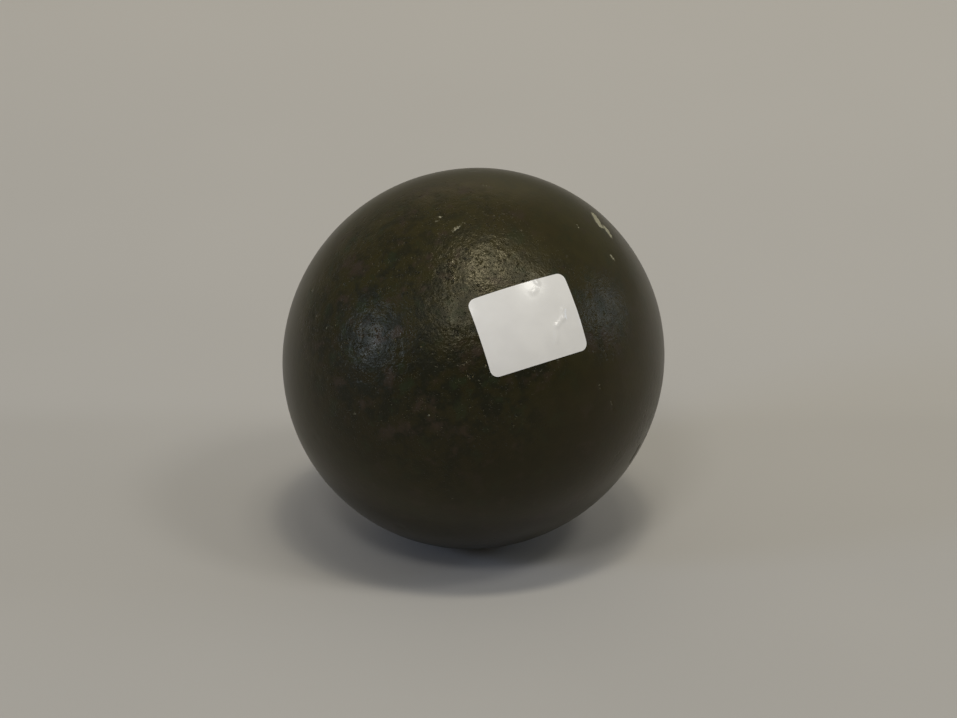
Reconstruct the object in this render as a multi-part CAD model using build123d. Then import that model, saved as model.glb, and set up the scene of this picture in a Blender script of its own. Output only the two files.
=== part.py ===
from build123d import *
from math import asin, degrees, sin
import os

# A composition croquet ball: a sphere of cork-and-rubber composition inside a thick, hard
# plastic shell. The shell is moulded as two cups that lap over one another and are cemented
# together round the core, and the ball is then turned true. A paper lot label is stuck to the
# front cup. The origin is the ball's centre. +Y is the shell's moulding axis, so the cups part
# on the upright XZ plane, and the front cup is on the -Y side. Sizes are in millimetres.

# The ball
BALL_DIAMETER = 92.1     # the game's standard size, 3 5/8 in
SHELL_WALL = 9.0         # thickness of the plastic all round the core
CEMENT_FILM = 0.05       # what the cement takes up in every glued joint

# The lapped joint between the two cups
LAP_WALL = 4.5           # thickness of the front cup's tongue
LAP_LENGTH = 4.0         # how far the tongue reaches past the parting plane
LAP_LEAD = 0.6           # chamfer that leads the tongue into the rear cup

# The lot label, measured flat before it is stuck down
LABEL_WIDTH = 24.0
LABEL_HEIGHT = 18.4
LABEL_CORNER = 1.8       # radius of its corners
LABEL_THICKNESS = 0.12   # paper, gloss film and adhesive
LABEL_AZIMUTH = 18.3     # degrees from -Y towards +X, to its middle
LABEL_ELEVATION = 28.8   # degrees above the ball's middle
LABEL_TURN = 10.2        # degrees, anticlockwise seen from outside

# What follows from them
ball_radius = BALL_DIAMETER / 2
cavity_radius = ball_radius - SHELL_WALL
core_radius = cavity_radius - CEMENT_FILM
tongue_radius = cavity_radius + LAP_WALL
recess_radius = tongue_radius + CEMENT_FILM
recess_depth = LAP_LENGTH + CEMENT_FILM


def arc(radius, y_from, y_to):
    """The arc round the ball's centre, on the +X side, between two heights along the axis."""
    start = degrees(asin(y_from / radius))
    end = degrees(asin(y_to / radius))
    return CenterArc((0, 0), radius, start, end - start)


def turned(outer, step, inner):
    """A cup turned about the moulding axis from its outside, its edge step and its inside."""
    rim = Polyline(outer @ 1, *step, inner @ 0)
    pole = Line(inner @ 1, outer @ 0)
    return revolve(make_face([outer, rim, inner, pole]), Axis.Y)


def make_core():
    """The composition sphere that fills the shell."""
    return Rot(X=90) * Sphere(core_radius)


def make_front_shell():
    """The cup on the -Y side, with the tongue that laps into the rear cup.

    The tongue is bored straight, so that the core goes in past it.
    """
    parting = -CEMENT_FILM / 2
    step = [
        (tongue_radius, parting),
        (tongue_radius, LAP_LENGTH - LAP_LEAD),
        (tongue_radius - LAP_LEAD, LAP_LENGTH),
        (cavity_radius, LAP_LENGTH),
    ]
    outer = arc(ball_radius, -ball_radius, parting)
    inner = arc(cavity_radius, 0, -cavity_radius)
    return turned(outer, step, inner)


def make_rear_shell():
    """The cup on the +Y side, recessed to take the front cup's tongue."""
    parting = CEMENT_FILM / 2
    step = [
        (recess_radius, parting),
        (recess_radius, recess_depth - LAP_LEAD),
        (recess_radius - LAP_LEAD, recess_depth),
    ]
    outer = arc(ball_radius, ball_radius, parting)
    inner = arc(cavity_radius, recess_depth, cavity_radius)
    return turned(outer, step, inner)


def chord(length):
    """The straight span of a length laid round the ball."""
    return BALL_DIAMETER * sin(length / BALL_DIAMETER)


def make_label():
    """The label, bent to the ball and lying on the front cup."""
    facing = Plane.XZ.location * Rot(Y=LABEL_AZIMUTH) * Rot(X=-LABEL_ELEVATION)
    place = facing * Rot(Z=LABEL_TURN)
    outline = RectangleRounded(chord(LABEL_WIDTH), chord(LABEL_HEIGHT), LABEL_CORNER)
    punch = extrude(outline, BALL_DIAMETER)
    bent = Rot(X=90) * (Sphere(ball_radius + LABEL_THICKNESS) - Sphere(ball_radius))
    return place * (bent & punch)


PARTS = {
    "core": make_core,
    "front_shell": make_front_shell,
    "rear_shell": make_rear_shell,
    "lot_label": make_label,
}

os.makedirs("parts", exist_ok=True)
for name, make in PARTS.items():
    export_step(make(), f"parts/{name}.step")
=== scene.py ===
import math

import bmesh
import bpy
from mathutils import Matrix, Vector, noise


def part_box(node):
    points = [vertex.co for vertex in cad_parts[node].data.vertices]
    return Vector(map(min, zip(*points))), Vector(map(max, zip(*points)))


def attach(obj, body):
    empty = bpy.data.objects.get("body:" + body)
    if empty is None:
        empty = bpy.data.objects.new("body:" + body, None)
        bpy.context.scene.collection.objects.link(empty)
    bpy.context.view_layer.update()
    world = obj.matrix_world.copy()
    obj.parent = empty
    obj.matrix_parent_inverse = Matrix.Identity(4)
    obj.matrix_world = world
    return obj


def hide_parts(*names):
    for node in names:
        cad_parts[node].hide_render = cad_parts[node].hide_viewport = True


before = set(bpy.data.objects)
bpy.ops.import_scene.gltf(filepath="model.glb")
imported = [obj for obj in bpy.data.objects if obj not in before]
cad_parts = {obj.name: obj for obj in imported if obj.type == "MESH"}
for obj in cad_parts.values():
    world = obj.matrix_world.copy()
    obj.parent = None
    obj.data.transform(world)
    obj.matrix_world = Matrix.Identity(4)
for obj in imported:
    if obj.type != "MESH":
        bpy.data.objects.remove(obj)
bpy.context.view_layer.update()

MM = 0.001

# The ball and its label, in the CAD part's own sizes
ball_low, ball_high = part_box("front_shell")
BALL_RADIUS = (ball_high.x - ball_low.x) / 2
SEAM_GAP = 0.05 * MM
SHELL_WALL = 9.0 * MM
TONGUE_WALL = 4.5 * MM
TONGUE_LENGTH = 4.0 * MM
TONGUE_LEAD = 0.6 * MM   # chamfer on the tongue's end
CAVITY_RADIUS = BALL_RADIUS - SHELL_WALL
TONGUE_RADIUS = CAVITY_RADIUS + TONGUE_WALL
LABEL_WIDTH = 24.0 * MM
LABEL_HEIGHT = 18.4 * MM
LABEL_CORNER = 1.8 * MM
LABEL_THICKNESS = 0.12 * MM
LABEL_AZIMUTH = 18.3     # its middle and its turn, in degrees
LABEL_ELEVATION = 28.8
LABEL_TURN = 10.2

# Mesh density
BALL_CUTS = 159          # cuts along each edge of the cube that the ball is rounded from
CAVITY_RINGS = 10
LABEL_STRIPS = (60, 46)  # across and up
LABEL_CORNER_CUTS = 8
CRISP_EDGE = 40          # degrees, from which an edge is shaded as sharp

# The ball's wear, in millimetres. It is longest one way and shortest another
OUT_OF_ROUND = 0.46
OVAL_LONG = Vector((0.731, 0.233, 0.641))
OVAL_SHORT = Vector((-0.682, 0.250, 0.687))
WAVE_SIZE, WAVE_HEIGHT = 14, 0.05
RIPPLE_SIZE, RIPPLE_HEIGHT = 5, 0.012
ROUGH_SIZE, ROUGH_HEIGHT = 2.6, 0.035
LABEL_BEDDING = 0.02     # how far the label's underside stands off the skin


def toward(azimuth, elevation):
    """Unit direction from the ball's centre. Azimuth runs from -Y towards +X, in degrees."""
    a, e = math.radians(azimuth), math.radians(elevation)
    return Vector((math.sin(a) * math.cos(e), -math.cos(a) * math.cos(e), math.sin(e)))


def ramp(value, low, high):
    """0 at low, 1 at high and smooth between them. High may be under low."""
    t = min(max((value - low) / (high - low), 0.0), 1.0)
    return t * t * (3 - 2 * t)


# Roughened ground ------------------------------------------------------------------------

ROUGH_MIDDLE = toward(-17, 32)
ROUGH_BESIDE_LABEL = toward(44, 28)

# Where painted light makes the ball's colour lightest and painted shade makes it darkest
PAINTED_LIGHT_TOWARD = toward(20, 75)
PAINTED_SHADE_TOWARD = toward(-14, -6)


def rough_amount(n):
    """How pitted the ball is in direction n, 0 where it is worn smooth."""
    drift = 0.10 * noise.noise(n * 3.1 + Vector((3, 1, 7)))
    near = ramp(n.dot(ROUGH_MIDDLE) + drift, 0.58, 0.90)
    patches = ramp(noise.noise(n * 1.9 + Vector((11, 4, 2))), 0.02, 0.30)
    away = ramp(n.dot(ROUGH_MIDDLE), 0.25, -0.15)
    beside = 0.7 * ramp(n.dot(ROUGH_BESIDE_LABEL), 0.960, 0.992)
    return max(near, beside, 0.85 * patches * away)


class Mark:
    """A straight gouge or scuff on the ball, some coloured pale as painted glints: its middle,
    heading and sizes, in mm and degrees.
    """

    def __init__(self, azimuth, elevation, heading, length, width, depth, pale):
        self.middle = toward(azimuth, elevation)
        east = Vector((0, 0, 1)).cross(self.middle).normalized()
        north = self.middle.cross(east)
        turn = math.radians(heading)
        self.along = east * math.cos(turn) + north * math.sin(turn)
        self.across = self.middle.cross(self.along)
        self.length, self.width, self.depth, self.pale = length, width, depth, pale
        self.reach = math.cos((length / 2 + width + 3) / (BALL_RADIUS / MM))

    def distance(self, n):
        """Distance in mm from the mark's outline, negative inside it, or None if it is far off."""
        if n.dot(self.middle) < self.reach:
            return None
        p = n * (BALL_RADIUS / MM)
        past = max(abs(p.dot(self.along)) - self.length / 2, 0.0)
        return math.hypot(past, p.dot(self.across)) - self.width / 2


MARKS = [
    # Pale scuffs high on the right, and one on top
    Mark(82.0, 50.8, -150, 4.2, 2.2, 0.06, 0.85),
    Mark(80.0, 46.6, -128, 2.6, 2.0, 0.06, 0.80),
    Mark(65.3, 40.4, -104, 1.6, 3.0, 0.02, 0.15),
    Mark(61.0, 53.6, -129, 0.9, 0.9, 0.06, 0.4),
    Mark(22.0, 79.9, -40, 2.2, 0.8, 0.06, 0.2),
    # Scratches above the pitted ground, coloured pale as painted glints
    Mark(-21.2, 63.6, 42, 0.9, 0.35, 0.10, 0.6),
    Mark(-8.5, 60.0, 51, 3.6, 0.35, 0.14, 0.7),
    Mark(-23.1, 61.1, 54, 1.2, 0.35, 0.10, 0.4),
    Mark(-42.5, 46.8, 77, 4.4, 0.7, 0.16, 0.0),
    # Flecks on the left, round the middle and on the right: small nicks, coloured pale as painted
    # glints
    Mark(-51.1, 22.1, 6, 0.9, 0.4, 0.08, 0.5),
    Mark(-59.9, 23.5, -2, 1.5, 0.4, 0.10, 0.3),
    Mark(-68.9, 28.8, 7, 0.8, 0.4, 0.08, 0.3),
    Mark(-29.5, 19.5, -31, 0.6, 0.35, 0.08, 0.5),
    Mark(-35.6, 0.7, -11, 0.4, 0.4, 0.06, 0.6),
    Mark(-10.3, 5.9, -24, 0.4, 0.4, 0.06, 0.5),
    Mark(-12.3, 3.6, -43, 0.4, 0.4, 0.06, 0.5),
    Mark(38.6, 7.8, -83, 1.4, 0.4, 0.08, 0.3),
    Mark(43.2, 1.1, -67, 1.8, 0.4, 0.08, 0.3),
    Mark(-6.8, -23.5, -34, 0.3, 0.4, 0.04, 0.6),
    # The nick low on the right, then the marks behind
    Mark(65.2, -22.7, 70, 4.4, 1.2, 0.25, 0.0),
    Mark(-150, 12, 30, 7.0, 0.9, 0.14, 0.5),
    Mark(140, -35, -60, 4.0, 0.8, 0.16, 0.3),
    Mark(170, 48, 15, 5.0, 0.5, 0.12, 0.4),
]


def pits(p, cell, widest, depth):
    """Scattered round pits, in mm, about one to a cell of that size, some of them missing."""
    distances, points = noise.voronoi(p / cell)
    luck = noise.cell(points[0] * 9.7)
    if luck < 0.35:
        return 0.0
    width = widest * (0.45 + 0.55 * luck)
    return -depth * luck * ramp(distances[0], width, width * 0.25)


def oval(n):
    """Height in mm that the ball's oval shape and its wave give it in direction n."""
    height = OUT_OF_ROUND * (n.dot(OVAL_LONG) ** 2 - n.dot(OVAL_SHORT) ** 2)
    return height + WAVE_HEIGHT * noise.noise(n * (BALL_RADIUS / MM) / WAVE_SIZE)


def wear(n):
    """Height in mm that the ball's skin stands off a true sphere in direction n."""
    p = n * (BALL_RADIUS / MM)
    height = oval(n) + RIPPLE_HEIGHT * noise.noise(p / RIPPLE_SIZE)
    height += pits(p + Vector((5, 2, 8)), 17.0, 0.16, 0.10)
    rough = rough_amount(n)
    if rough > 0:
        relief = ROUGH_HEIGHT * noise.fractal(p / ROUGH_SIZE, 1.0, 2.0, 3)
        relief += pits(p, 2.6, 0.40, 0.15)
        relief += pits(p + Vector((31, 17, 5)), 1.7, 0.45, 0.10)
        height += rough * relief
    for mark in MARKS:
        gap = mark.distance(n)
        if gap is not None:
            ragged = gap + 0.25 * noise.noise(p * 1.3)
            height -= mark.depth * ramp(ragged, 0.35, -mark.width / 2)
    return height


def pale_distance(n):
    """Distance in mm outside the nearest pale mark, widened where that mark is faint."""
    nearest = 9.0
    for mark in MARKS:
        gap = mark.distance(n)
        if gap is not None and mark.pale > 0:
            nearest = min(nearest, gap + (1 - mark.pale) * max(0.35, mark.width / 2))
    return nearest


# The two cups. Their outer rims meet, and the cement gap starts just under the skin ------


def extrude_ring(bm, ring, radius, y):
    """Draws a ring of rim edges out to a new circle about the Y axis. Returns its edges."""
    drawn = bmesh.ops.extrude_edge_only(bm, edges=ring)["geom"]
    for v in (g for g in drawn if isinstance(g, bmesh.types.BMVert)):
        flat = Vector((v.co.x, 0, v.co.z)).normalized() * radius
        v.co = Vector((flat.x, y, flat.z))
    return [g for g in drawn if isinstance(g, bmesh.types.BMEdge)]


def make_cup(name, side, step):
    """Half of the shell. side is -1 in front and 1 behind; step is its rim, as (radius, y)."""
    bm = bmesh.new()
    bmesh.ops.create_cube(bm, size=2.0)
    bmesh.ops.subdivide_edges(bm, edges=bm.edges[:], cuts=BALL_CUTS, use_grid_fill=True)
    whole = bm.verts[:] + bm.edges[:] + bm.faces[:]
    bmesh.ops.bisect_plane(
        bm, geom=whole, dist=1e-5, plane_co=(0, 0, 0), plane_no=(0, -side, 0), clear_outer=True
    )
    for v in bm.verts:
        even = Vector([math.tan(c * math.pi / 4) for c in v.co])
        v.co = even.normalized()
    rough = bm.verts.layers.float.new("rough")
    pale = bm.verts.layers.float.new("pale")
    for v in bm.verts:
        n = v.co.copy()
        v[rough] = rough_amount(n)
        v[pale] = pale_distance(n)
        v.co = n * (BALL_RADIUS + wear(n) * MM)
    ring = [e for e in bm.edges if e.is_boundary]
    for radius, y in step:
        ring = extrude_ring(bm, ring, radius, y)
    start = math.asin(step[-1][1] / CAVITY_RADIUS) if abs(step[-1][1]) > 0 else 0.0
    for k in range(1, CAVITY_RINGS + 1):
        angle = start + (side * math.pi / 2 - start) * k / (CAVITY_RINGS + 1)
        ring = extrude_ring(
            bm, ring, CAVITY_RADIUS * math.cos(angle), CAVITY_RADIUS * math.sin(angle)
        )
    bmesh.ops.contextual_create(bm, geom=ring)
    bmesh.ops.recalc_face_normals(bm, faces=bm.faces[:])
    return finished(bm, name, CRISP_EDGE)


def finished(bm, name, crisp=None):
    """A mesh object of its own at the origin, smooth but for edges sharper than crisp degrees."""
    mesh = bpy.data.meshes.new(name)
    for face in bm.faces:
        face.smooth = True
    bm.to_mesh(mesh)
    bm.free()
    if crisp is not None:
        mesh.set_sharp_from_angle(angle=math.radians(crisp))
    made = bpy.data.objects.new(name, mesh)
    bpy.context.scene.collection.objects.link(made)
    return made


front_y, rear_y = -SEAM_GAP / 2, SEAM_GAP / 2
recess = TONGUE_RADIUS + SEAM_GAP
recess_end = TONGUE_LENGTH + SEAM_GAP
front_cup = make_cup(
    "front_cup",
    -1,
    [
        (TONGUE_RADIUS, front_y),
        (TONGUE_RADIUS, TONGUE_LENGTH - TONGUE_LEAD),
        (TONGUE_RADIUS - TONGUE_LEAD, TONGUE_LENGTH),
        (CAVITY_RADIUS, TONGUE_LENGTH),
        (CAVITY_RADIUS, 0.0),
    ],
)
rear_cup = make_cup(
    "rear_cup",
    1,
    [
        (recess, rear_y),
        (recess, recess_end - TONGUE_LEAD),
        (recess - TONGUE_LEAD, recess_end),
        (math.sqrt(CAVITY_RADIUS**2 - recess_end**2), recess_end),
    ],
)

# The label -------------------------------------------------------------------------------

CREASES = [
    # (start x, start y, end x, end y, width, height), in mm from the label's middle
    (8.6, 1.0, 7.8, -1.0, 0.8, 0.16),
    (7.8, -1.0, 5.6, -2.2, 0.8, 0.18),
    (5.6, -2.2, 4.6, -5.6, 0.8, 0.14),
    (2.9, 6.6, 3.7, 6.9, 1.0, 0.08),
    (4.6, 9.0, 4.9, 8.2, 0.8, 0.12),
    (11.6, 0.2, 11.4, -3.6, 1.6, 0.04),
]


def crease_height(x, y):
    """Height in mm of the label's folds at x, y mm from its middle."""
    height = 0.0
    for x0, y0, x1, y1, width, tall in CREASES:
        along = Vector((x1 - x0, y1 - y0))
        at = Vector((x - x0, y - y0))
        t = min(max(at.dot(along) / along.length_squared, 0.0), 1.0)
        height += tall * ramp((at - along * t).length, width, 0.0)
    return height


def make_label():
    """The label, cut out flat and then pressed on to the ball."""
    bm = bmesh.new()
    bmesh.ops.create_grid(bm, x_segments=1, y_segments=1, size=0.5)
    bmesh.ops.scale(bm, vec=(LABEL_WIDTH, LABEL_HEIGHT, 1), verts=bm.verts[:])
    bmesh.ops.bevel(
        bm,
        geom=bm.verts[:],
        offset=LABEL_CORNER,
        segments=LABEL_CORNER_CUTS,
        profile=0.5,
        affect="VERTICES",
    )
    for axis, (span, strips) in enumerate(zip((LABEL_WIDTH, LABEL_HEIGHT), LABEL_STRIPS)):
        normal = [0, 0, 0]
        normal[axis] = 1
        for k in range(1, strips):
            place = [0, 0, 0]
            place[axis] = span * (k / strips - 0.5)
            everything = bm.verts[:] + bm.edges[:] + bm.faces[:]
            bmesh.ops.bisect_plane(bm, geom=everything, dist=1e-7, plane_co=place, plane_no=normal)
    bmesh.ops.solidify(bm, geom=bm.faces[:], thickness=LABEL_THICKNESS)
    bmesh.ops.recalc_face_normals(bm, faces=bm.faces[:])
    middle = toward(LABEL_AZIMUTH, LABEL_ELEVATION)
    east = Vector((0, 0, 1)).cross(middle).normalized()
    north = middle.cross(east)
    turn = math.radians(LABEL_TURN)
    right = east * math.cos(turn) + north * math.sin(turn)
    up = middle.cross(right)
    top = max(v.co.z for v in bm.verts)
    for v in bm.verts:
        x, y, level = v.co.x, v.co.y, v.co.z - top + LABEL_THICKNESS
        reach = math.hypot(x, y)
        angle = reach / BALL_RADIUS
        n = middle
        if reach > 0:
            n = middle * math.cos(angle) + (right * x + up * y) / reach * math.sin(angle)
        bed = oval(n) + LABEL_BEDDING + crease_height(x / MM, y / MM)
        v.co = n * (BALL_RADIUS + bed * MM + level)
    return finished(bm, "label", CRISP_EDGE)


label = make_label()


# Materials -------------------------------------------------------------------------------


class Field:
    """A value in a material, so that its shading can be written as plain arithmetic."""

    def __init__(self, tree, socket):
        self.tree, self.socket = tree, socket

    def node(self, kind, settings=None, values=None, output=0):
        """Adds a node with those settings and input values and returns one of its outputs."""
        made = self.tree.nodes.new(kind)
        for key, value in (settings or {}).items():
            setattr(made, key, value)
        for key, value in (values or {}).items():
            if isinstance(value, Field):
                self.tree.links.new(value.socket, made.inputs[key])
            else:
                made.inputs[key].default_value = value
        return Field(self.tree, made.outputs[output])

    def math(self, operation, *values):
        return self.node("ShaderNodeMath", {"operation": operation}, dict(enumerate(values)))

    def __add__(self, other):
        return self.math("ADD", self, other)

    def __radd__(self, other):
        return self.math("ADD", other, self)

    def __sub__(self, other):
        return self.math("SUBTRACT", self, other)

    def __rsub__(self, other):
        return self.math("SUBTRACT", other, self)

    def __mul__(self, other):
        return self.math("MULTIPLY", self, other)

    def __rmul__(self, other):
        return self.math("MULTIPLY", other, self)

    def ramp(self, low, high):
        """0 at low, 1 at high and smooth between them."""
        return self.node(
            "ShaderNodeMapRange",
            {"interpolation_type": "SMOOTHSTEP"},
            {"Value": self, "From Min": low, "From Max": high},
        )

    def dot(self, direction):
        values = {0: self, 1: tuple(direction)}
        return self.node("ShaderNodeVectorMath", {"operation": "DOT_PRODUCT"}, values, "Value")

    def shaken(self, size, reach):
        """This place, moved about by up to that many millimetres, so that edges turn ragged."""
        values = {"Vector": self, "Scale": 1 / size, "Detail": 2.0}
        drift = self.node("ShaderNodeTexNoise", None, values, "Color")
        settings, values = {"operation": "MULTIPLY_ADD"}, {0: drift, 1: (reach,) * 3, 2: self}
        return self.node("ShaderNodeVectorMath", settings, values)

    def cells(self, size):
        """Distance from the nearest of many scattered points, in cells of that size."""
        return self.node("ShaderNodeTexVoronoi", None, {"Vector": self, "Scale": 1 / size})

    def mix(self, low, high):
        """The colour low where this is 0 and high where it is 1."""
        values = {"Factor": self, 6: low, 7: high}
        return self.node("ShaderNodeMix", {"data_type": "RGBA"}, values, output=2)


def new_material(name, **constants):
    """A Principled material. Returns it, its shader node and a Field to start from."""
    material = bpy.data.materials.new(name)
    material.use_nodes = True
    shader = material.node_tree.nodes["Principled BSDF"]
    for key, value in constants.items():
        shader.inputs[key.replace("_", " ")].default_value = value
    return material, shader, Field(material.node_tree, None)


def drive(shader, key, field):
    field.tree.links.new(field.socket, shader.inputs[key])


def millimetres(start):
    """The object's own coordinates in millimetres, from the ball's centre."""
    place = start.node("ShaderNodeTexCoord", output="Object")
    scale = (1 / MM, 1 / MM, 1 / MM)
    return start.node("ShaderNodeMapping", None, {"Vector": place, "Scale": scale})


def grain(p, size, detail=2.0, roughness=0.5, seed=0.0):
    """Noise from 0 to 1 with lumps of about that many millimetres."""
    values = {"Vector": p, "W": seed, "Scale": 1 / size, "Detail": detail, "Roughness": roughness}
    return p.node("ShaderNodeTexNoise", {"noise_dimensions": "4D"}, values)


def bump(shader, relief):
    """Raises the surface by relief, in millimetres."""
    values = {"Strength": 1.0, "Distance": MM, "Height": relief}
    drive(shader, "Normal", relief.node("ShaderNodeBump", None, values))


# The darkest colour serves both the dark mottling and the painted shade low in front
OLIVE, BROWN, DARK_MOTTLE_AND_SHADE = (0.030, 0.026, 0.007, 1), (0.019, 0.013, 0.003, 1), (0.004, 0.005, 0.002, 1)
REDDISH, GREENISH = (0.032, 0.021, 0.016, 1), (0.012, 0.018, 0.007, 1)
# Pit colour is dirt and painted shade; the pale rim colour is wear and painted glints
PIT_DIRT_AND_SHADE, WORN_EDGE_AND_GLINT = (0.003, 0.003, 0.002, 1), (0.150, 0.120, 0.060, 1)
# Pale colour of the real scuffs, also used for painted glints on the scratches and flecks
PALE_SCUFF_AND_GLINT = (0.45, 0.43, 0.32, 1)
# Sizes in the shell's surface, in millimetres
CLUSTER_SIZE, TONE_SIZE, MOTTLE_SIZE, TINT_SIZE, PALE_SPECK_SIZE = 4.5, 22, 3.4, 5, 0.9
PIT_CELL, FLECK_CELL, WEAR_AND_GLINT_CELL = 1.25, 0.7, 0.85
PIT_DEPTH, FLECK_DEPTH = 0.22, 0.10
FINE_SIZE, COARSE_SIZE = 0.6, 1.6
ROUGH_FINE, ROUGH_COARSE, WORN_FINE, WORN_COARSE = 0.09, 0.13, 0.012, 0.024


def make_shell_material():
    """Aged plastic, mottled olive and brown, with pits and uneven gloss where it is rough."""
    material, shader, start = new_material(
        "shell_plastic",
        IOR=1.40,
        Specular_Tint=(1.0, 0.93, 0.70, 1.0),
    )
    p = millimetres(start)
    rough = start.node("ShaderNodeAttribute", {"attribute_name": "rough"}, output="Fac")
    pale = start.node("ShaderNodeAttribute", {"attribute_name": "pale"}, output="Fac")

    # Clusters of little ragged pits, and flecks between them made pale, as rubbed wear and as
    # painted glints
    ragged = p.shaken(0.7, 0.7)
    cluster = rough * grain(p, CLUSTER_SIZE, 4, 0.7, 2).ramp(0.50, 0.62)
    uneven = (grain(p, 2.0, 2, 0.6, 21) - 0.5) * 0.9
    hollow = (ragged.cells(PIT_CELL) + uneven).ramp(0.34, 0.14) * cluster
    fleck = (ragged.cells(FLECK_CELL) - uneven).ramp(0.26, 0.10) * rough
    rubbed_wear_and_glint = (ragged.cells(WEAR_AND_GLINT_CELL) + uneven * 0.8).ramp(0.10, 0.02) * cluster

    # Colour, with painted light on top and painted shade low in front
    broad = grain(p, TONE_SIZE, 3, 0.55)
    top = p.dot(PAINTED_LIGHT_TOWARD).ramp(4.0, 46.0)
    shade = p.dot(PAINTED_SHADE_TOWARD).ramp(14.0, 44.0)
    colour = (broad.ramp(0.35, 0.65) * 0.5 + top * 0.5).mix(BROWN, OLIVE)
    mottle = grain(p, MOTTLE_SIZE, 4, 0.62, 3)
    # Dark mottling, and painted shade low in front
    colour = ((0.15 + rough * 0.50) * mottle.ramp(0.40, 0.62) + shade * 0.50).mix(colour, DARK_MOTTLE_AND_SHADE)
    tint = grain(p, TINT_SIZE, 4, 0.62, 8)
    colour = (tint.ramp(0.54, 0.68) * (0.30 + rough * 0.50)).mix(colour, REDDISH)
    colour = (tint.ramp(0.46, 0.32) * (0.30 + rough * 0.50)).mix(colour, GREENISH)
    # Pits darkened: dirt in them, and painted shade in the hollows
    colour = (hollow * 0.5).mix(colour, PIT_DIRT_AND_SHADE)
    # Pale rims in the pit clusters: rubbed wear, and painted glints
    colour = (rubbed_wear_and_glint * 0.7).mix(colour, WORN_EDGE_AND_GLINT)

    # Pale marks: real scuffs, and painted glints on the scratches and flecks
    scatter = grain(p, PALE_SPECK_SIZE, 3, 0.7, 5)
    pale_scuff_and_glint = (pale + (scatter - 0.5) * 2.4).ramp(0.15, -0.25)
    colour = (pale_scuff_and_glint * 0.7).mix(colour, PALE_SCUFF_AND_GLINT)
    drive(shader, "Base Color", colour)

    dullness = 0.33 + (broad - 0.5) * 0.12 + rough * (mottle - 0.5) * 0.50 + pale_scuff_and_glint * 0.25
    drive(shader, "Roughness", dullness)

    fine = grain(p, FINE_SIZE, 2, 0.6, 1)
    coarse = grain(p, COARSE_SIZE, 2, 0.6, 12)
    relief = rough * ((fine - 0.5) * ROUGH_FINE + (coarse - 0.5) * ROUGH_COARSE)
    relief = relief - hollow * PIT_DEPTH - fleck * FLECK_DEPTH
    relief = relief + (fine - 0.5) * WORN_FINE + (coarse - 0.5) * WORN_COARSE
    bump(shader, relief)
    return material


def make_label_material():
    """Glossy white paper with nothing printed on it."""
    material, shader, start = new_material("label_paper", Roughness=0.20, IOR=1.5)
    p = millimetres(start)
    cloud = grain(p, 6, 2, 0.5, 4)
    paper = cloud.ramp(0.3, 0.7).mix((0.79, 0.785, 0.80, 1), (0.84, 0.835, 0.85, 1))
    drive(shader, "Base Color", paper)
    fibre = grain(p, 0.8, 2, 0.5, 6)
    bump(shader, (fibre - 0.5) * 0.01)
    return material


GRANULE = 2.4            # size of the cork's granules, in millimetres


def make_core_material():
    """Cork granules in dark rubber."""
    material, shader, start = new_material("core_cork", Roughness=0.85, IOR=1.45)
    p = millimetres(start)
    cells = {"Vector": p, "Scale": 1 / GRANULE}
    granule = p.node("ShaderNodeTexVoronoi", None, cells, "Color")
    shade = p.node("ShaderNodeSeparateColor", None, {"Color": granule})
    tan = shade.mix((0.16, 0.09, 0.045, 1), (0.42, 0.27, 0.15, 1))
    edge = p.node("ShaderNodeTexVoronoi", {"feature": "DISTANCE_TO_EDGE"}, cells)
    binder = edge.ramp(0.09, 0.03)
    drive(shader, "Base Color", binder.mix(tan, (0.03, 0.022, 0.018, 1)))
    bump(shader, binder * -0.15)
    return material


def make_backdrop_material():
    """Plain matt paper, with painted light that makes it lighter towards the back."""
    material, shader, start = new_material("backdrop_paper", Roughness=0.75, IOR=1.3)
    p = millimetres(start)
    cloud = grain(p, 120, 2, 0.5, 9)
    sheet = cloud.ramp(0.3, 0.7).mix((0.470, 0.458, 0.450, 1), (0.490, 0.477, 0.468, 1))
    # Painted light: the sheet's colour brightens towards the back
    back = p.dot((0, 1, 0)).ramp(-120.0, 720.0)
    drive(shader, "Base Color", back.mix(sheet, (0.715, 0.690, 0.664, 1)))
    return material


shell_plastic = make_shell_material()
for cup in (front_cup, rear_cup):
    cup.data.materials.append(shell_plastic)
label.data.materials.append(make_label_material())
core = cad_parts["core"]
core.data.materials.clear()
core.data.materials.append(make_core_material())

for piece, node, slot in (
    (front_cup, "front_shell", "shell"),
    (rear_cup, "rear_shell", "shell"),
    (label, "lot_label", "label"),
):
    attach(piece, "root")
    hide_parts(node)

# The backdrop, light and camera ----------------------------------------------------------

FLOOR_CLEARANCE = 0.02 * MM
FLOOR_Z = -BALL_RADIUS - FLOOR_CLEARANCE
SWEEP_START = 0.072       # how far behind the ball's centre the sheet begins to rise
SWEEP_RADIUS = 0.09
SWEEP_SLOPE = 10.0        # degrees
SWEEP_STEPS = 16
BACKDROP_HALF_WIDTH = 1.6
BACKDROP_FRONT = -1.6
BACKDROP_LENGTH = 0.9     # along the slope


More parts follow.
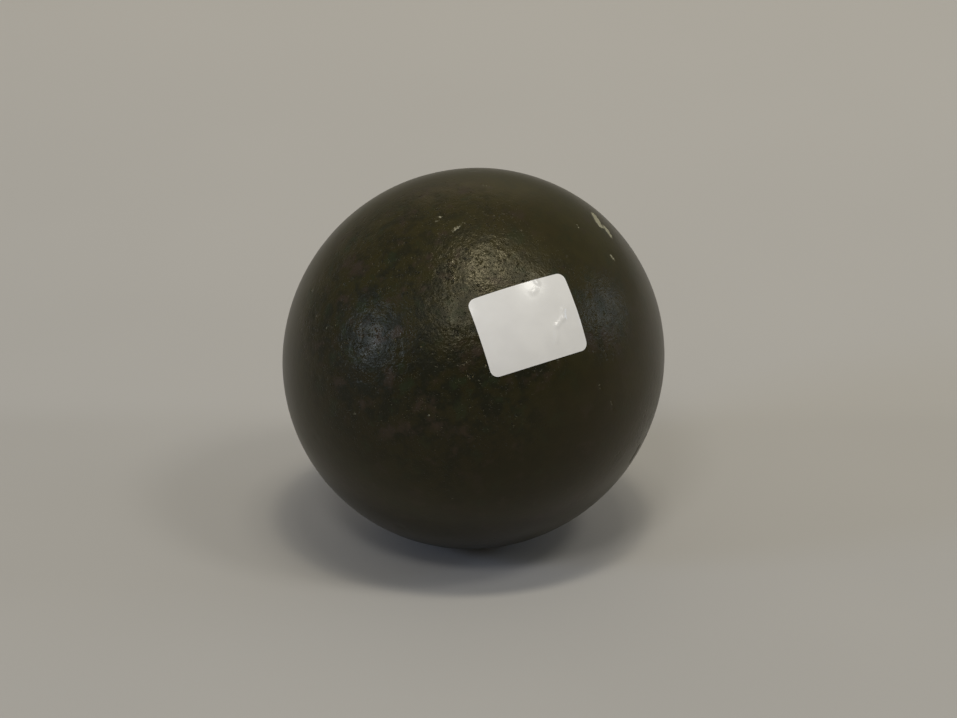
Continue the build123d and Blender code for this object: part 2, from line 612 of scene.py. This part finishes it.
def make_backdrop():
    """A sheet that lies flat under the ball and slopes up gently behind it."""
    rows = [(BACKDROP_FRONT, FLOOR_Z)]
    for k in range(SWEEP_STEPS + 1):
        angle = math.radians(SWEEP_SLOPE) * k / SWEEP_STEPS
        y = SWEEP_START + SWEEP_RADIUS * math.sin(angle)
        rows.append((y, FLOOR_Z + SWEEP_RADIUS * (1 - math.cos(angle))))
    y, z = rows[-1]
    rows.append((y + BACKDROP_LENGTH * math.cos(angle), z + BACKDROP_LENGTH * math.sin(angle)))
    bm = bmesh.new()
    strips = len(rows) - 1
    bmesh.ops.create_grid(bm, x_segments=1, y_segments=strips, size=1.0)
    for v in bm.verts:
        y, z = rows[round((v.co.y + 1) / 2 * strips)]
        v.co = Vector((v.co.x * BACKDROP_HALF_WIDTH, y, z))
    return finished(bm, "backdrop")


backdrop = make_backdrop()
backdrop.data.materials.append(make_backdrop_material())

LAMP_DISTANCE = 1.3      # from the ball's centre, in metres
# name, direction, width and height in metres, colour, power in watts
LAMPS = [
    ("ceiling", (0.08, -0.27, 0.95), 0.46, 0.15, (1.0, 0.95, 0.8), 3.4),
    ("ceiling_middle", (0.062, -0.273, 0.96), 0.13, 0.11, (1.0, 0.92, 0.75), 1.6),
    ("upper", (-0.16, -0.67, 0.72), 0.26, 0.2, (1.0, 0.98, 0.93), 2.10),
    ("upper_right", (0.5, -0.33, 0.81), 0.22, 0.22, (1.0, 0.98, 0.9), 1.87),
    ("window_left", (-0.853, -0.384, 0.354), 0.26, 0.24, (0.54, 0.68, 1.0), 2.20),
    ("sky_left", (-0.853, -0.384, 0.354), 0.6, 0.5, (0.62, 0.78, 1.0), 0.30),
    ("window_right", (0.915, -0.136, 0.38), 0.16, 0.16, (0.50, 0.68, 1.0), 0.40),
    ("sky_right", (0.94, 0.13, 0.32), 0.4, 0.34, (0.60, 0.74, 1.0), 0.85),
    ("back", (0, 0.75, 0.6), 0.8, 0.4, (1.0, 0.8, 0.6), 0.31),
    ("overall", (0, -0.2, 1.0), 2.4, 2.4, (1.0, 0.93, 0.8), 0.90),
]
for name, direction, width, height, colour, watts in LAMPS:
    data = bpy.data.lights.new(name, "AREA")
    data.shape = "RECTANGLE"
    data.size, data.size_y = width, height
    data.color, data.energy = colour, watts
    lamp = bpy.data.objects.new(name, data)
    lamp.location = Vector(direction).normalized() * LAMP_DISTANCE
    lamp.rotation_euler = Vector(direction).to_track_quat("Z", "Y").to_euler()
    bpy.context.scene.collection.objects.link(lamp)

world = bpy.data.worlds.new("room")
world.use_nodes = True
ambient = world.node_tree.nodes["Background"]
ambient.inputs["Color"].default_value = (1.000, 0.960, 0.800, 1)
ambient.inputs["Strength"].default_value = 0.222
bpy.context.scene.world = world

CAMERA_DISTANCE = 0.5
CAMERA_ELEVATION = 20.0
CAMERA_LENS = 77.6
CAMERA_AIM = Vector((1.21, 0.0, -0.15)) * MM
camera_data = bpy.data.cameras.new("camera")
camera_data.sensor_width = 36.0
camera_data.lens = CAMERA_LENS
camera = bpy.data.objects.new("camera", camera_data)
camera.location = toward(0, CAMERA_ELEVATION) * CAMERA_DISTANCE
camera.rotation_euler = (camera.location - CAMERA_AIM).to_track_quat("Z", "Y").to_euler()
bpy.context.scene.collection.objects.link(camera)
bpy.context.scene.camera = camera
bpy.context.scene.view_settings.view_transform = "Standard"
